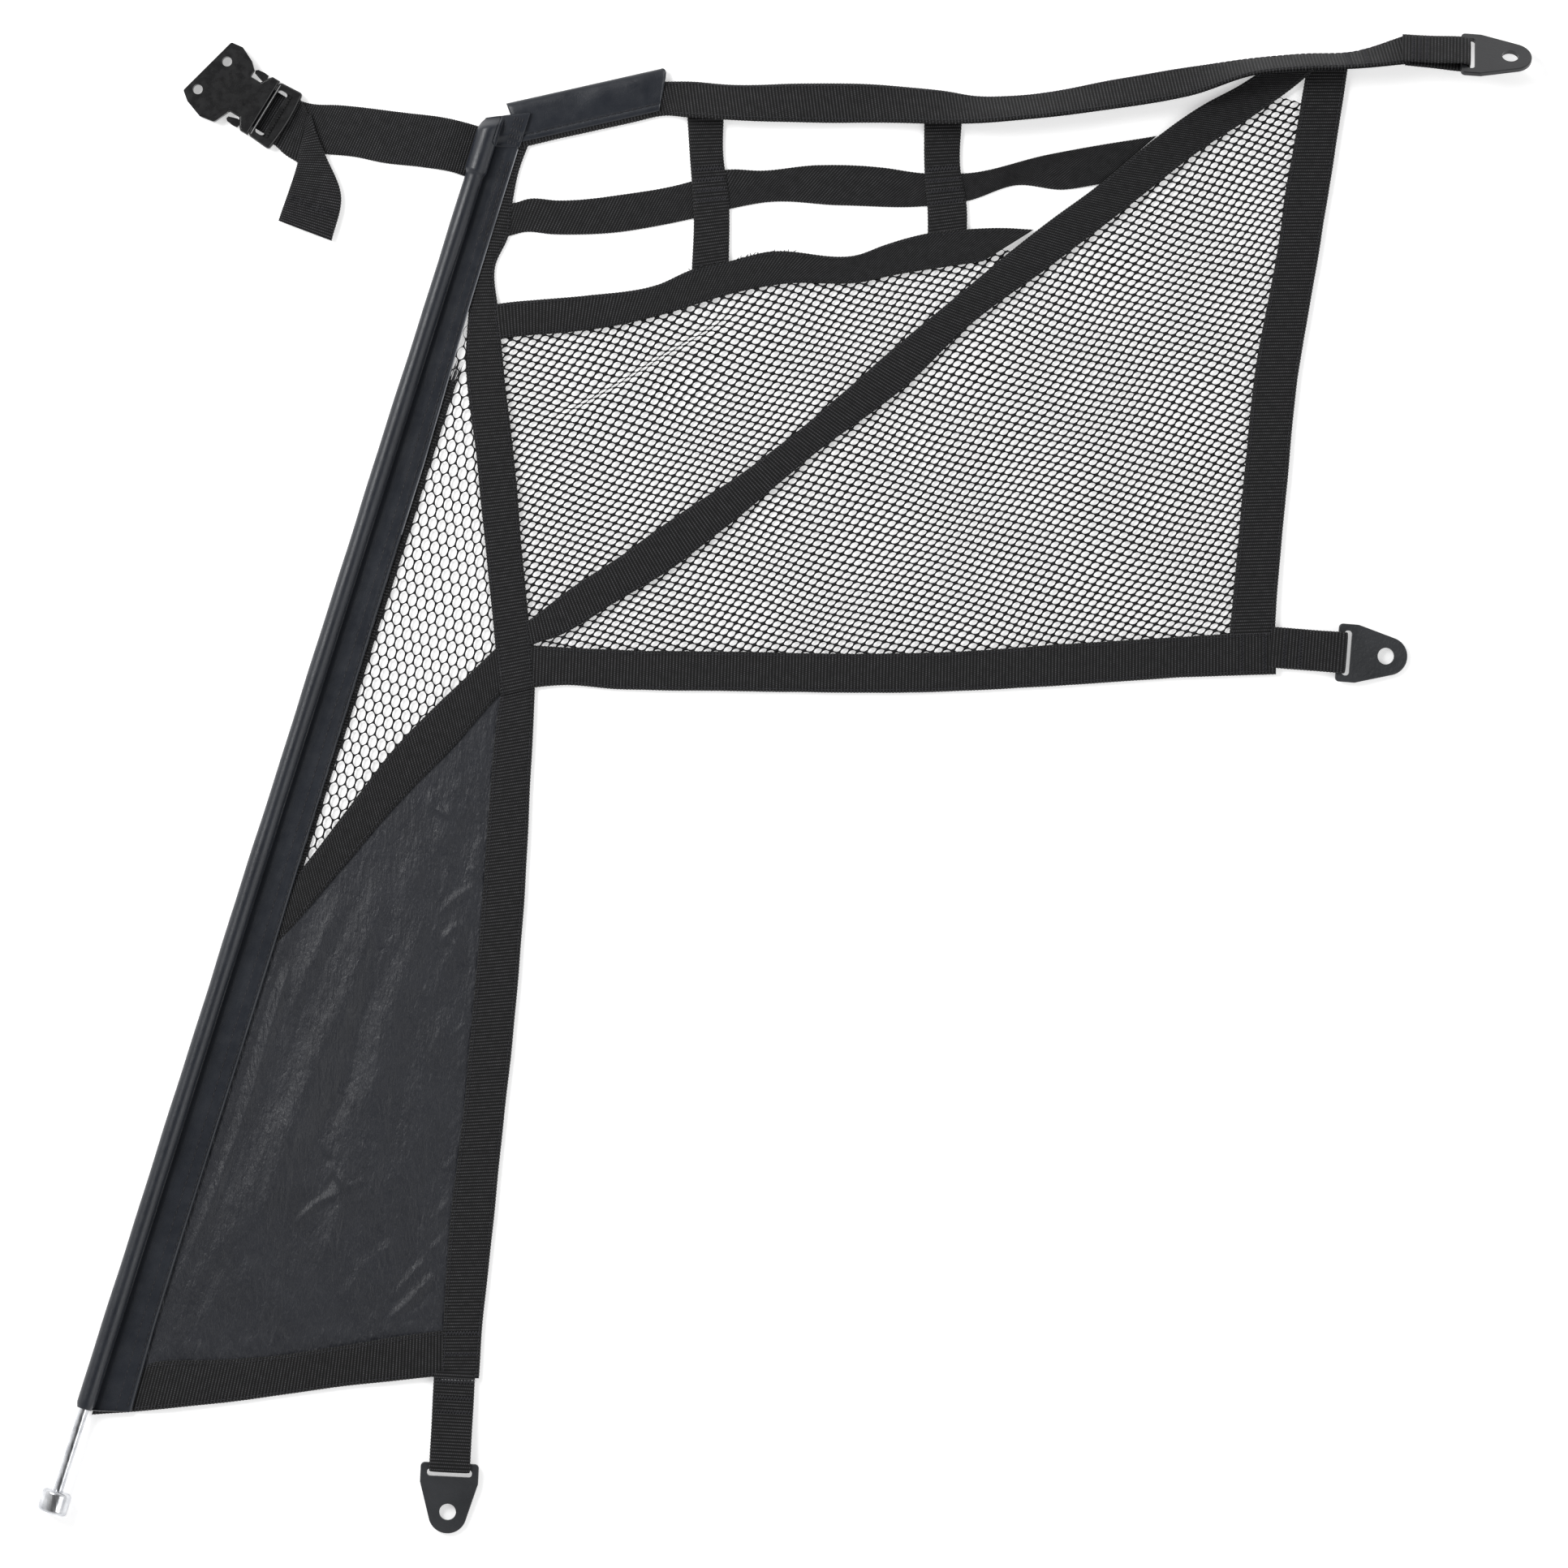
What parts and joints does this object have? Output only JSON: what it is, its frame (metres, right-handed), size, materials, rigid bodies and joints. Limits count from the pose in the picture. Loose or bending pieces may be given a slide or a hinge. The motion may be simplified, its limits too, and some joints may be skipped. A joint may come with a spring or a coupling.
{
  "type": "side net",
  "caption": "Side net for an off-road vehicle door opening: webbing and mesh on a sleeved steel rod, with a grab handle, bolt tabs and a side-release buckle.",
  "frame": {"origin": "middle of the flat net's bounding box, on the surface it lies on", "axes": "+X towards the rear of the vehicle, +Y towards its roof, +Z out of the net's outer face"},
  "size_m": [0.8962, 0.9011, 0.0267],
  "materials": {
    "webbing": "ribbed nylon webbing, matte",
    "buckle_webbing": "fine dotted nylon webbing",
    "mesh": "hexagonal knitted polyester mesh",
    "panel_fabric": "coated nylon with a soft sheen",
    "vinyl": "fine grained vinyl, low gloss",
    "plated_steel": "bright zinc plate",
    "cap_plastic": "moulded",
    "tab_steel": "hammered powder coat",
    "tab_gloss_steel": "smooth satin powder coat",
    "buckle_plastic": "satin moulded acetal"
  },
  "bodies": {
    "net": {"bottom_strap": "webbing", "bottom_strap_back": "webbing", "brace_strap": "webbing", "centre_strap_lower": "webbing", "centre_strap_upper": "webbing", "diagonal_strap": "webbing", "front_mesh": "mesh", "handle_cover": "vinyl", "hem_strap": "webbing", "hem_strap_back": "webbing", "ladder_strap_1": "webbing", "ladder_strap_2": "webbing", "lower_panel": "panel_fabric", "main_mesh": "mesh", "mesh_edge_strap": "webbing", "mesh_edge_strap_back": "webbing", "mid_strap": "webbing", "rear_strap": "webbing", "rear_strap_back": "webbing", "strap_loop_bottom": "webbing", "strap_loop_lower_rear": "webbing", "strap_loop_top_rear": "webbing", "top_strap": "webbing", "top_strap_back": "webbing"},
    "sleeve": {"rod_sleeve": "vinyl", "sleeve_end_flap": "vinyl", "handle_cover_front_end": "vinyl", "top_strap_front_end": "webbing", "front_border_strap": "webbing", "hem_strap_front_end": "webbing", "centre_strap_top_end": "webbing", "buckle_strap_anchor": "buckle_webbing"},
    "rod": {"rod": "plated_steel", "rod_foot": "plated_steel", "rod_end_cap": "cap_plastic"},
    "buckle_strap": {"buckle_strap": "buckle_webbing", "buckle_strap_tail": "buckle_webbing", "buckle_frame": "buckle_plastic"},
    "buckle_socket": {"buckle_socket": "buckle_plastic"},
    "prong_upper": {"buckle_prong_upper": "buckle_plastic"},
    "prong_lower": {"buckle_prong_lower": "buckle_plastic"},
    "tab_top_rear": {"bolt_tab_top_rear": "tab_gloss_steel"},
    "tab_lower_rear": {"bolt_tab_lower_rear": "tab_steel"},
    "tab_bottom": {"bolt_tab_bottom": "tab_steel"}
  },
  "joints": [
    {"name": "net_fold", "type": "hinge", "parent": "net", "child": "sleeve", "pos_m": [-0.272, -0.00202, 0.0058], "axis": [0.3015, 0.9535, 0], "range_deg": [0, 150]},
    {"name": "rod_spin", "type": "hinge", "parent": "sleeve", "child": "rod", "pos_m": [-0.29889, 0.00648, 0.009], "axis": [0.3015, 0.9535, 0], "continuous": true},
    {"name": "buckle_strap_fold", "type": "hinge", "parent": "sleeve", "child": "buckle_strap", "pos_m": [-0.19034, 0.38119, 0.002], "axis": [-0.3015, -0.9535, 0], "range_deg": [-100, 0]},
    {"name": "buckle_release", "type": "slide", "parent": "buckle_strap", "child": "buckle_socket", "axis": [-0.8526, 0.5225, 0], "range_m": [0, 0.03], "deforming": ["buckle_prong_upper", "buckle_prong_lower"]},
    {"name": "prong_squeeze_upper", "type": "hinge", "parent": "buckle_strap", "child": "prong_upper", "pos_m": [-0.30432, 0.4182, 0.0048], "axis": [0, 0, 1], "range_deg": [0, 10], "stiffness_Nm_per_rad": 0.2},
    {"name": "prong_squeeze_lower", "type": "hinge", "parent": "buckle_strap", "child": "prong_lower", "pos_m": [-0.31958, 0.3933, 0.0048], "axis": [0, 0, 1], "range_deg": [-10, 0], "stiffness_Nm_per_rad": 0.2},
    {"name": "tab_top_rear_swing", "type": "hinge", "parent": "net", "child": "tab_top_rear", "pos_m": [0.4083, 0.4376, 0.0137], "axis": [-0.0527, -0.7174, 0.6947], "range_deg": [-75, 75]},
    {"name": "tab_lower_rear_swing", "type": "hinge", "parent": "net", "child": "tab_lower_rear", "pos_m": [0.3344, 0.079, 0.00405], "axis": [-0.0785, -0.9969, 0], "range_deg": [-75, 75]},
    {"name": "tab_bottom_swing", "type": "hinge", "parent": "net", "child": "tab_bottom", "pos_m": [-0.2002, -0.4096, 0.00405], "axis": [-0.9987, 0.0506, 0], "range_deg": [-75, 75]}
  ],
  "couplings": [
    {"joint": "prong_squeeze_lower", "follows": "prong_squeeze_upper", "ratio": -1}
  ]
}
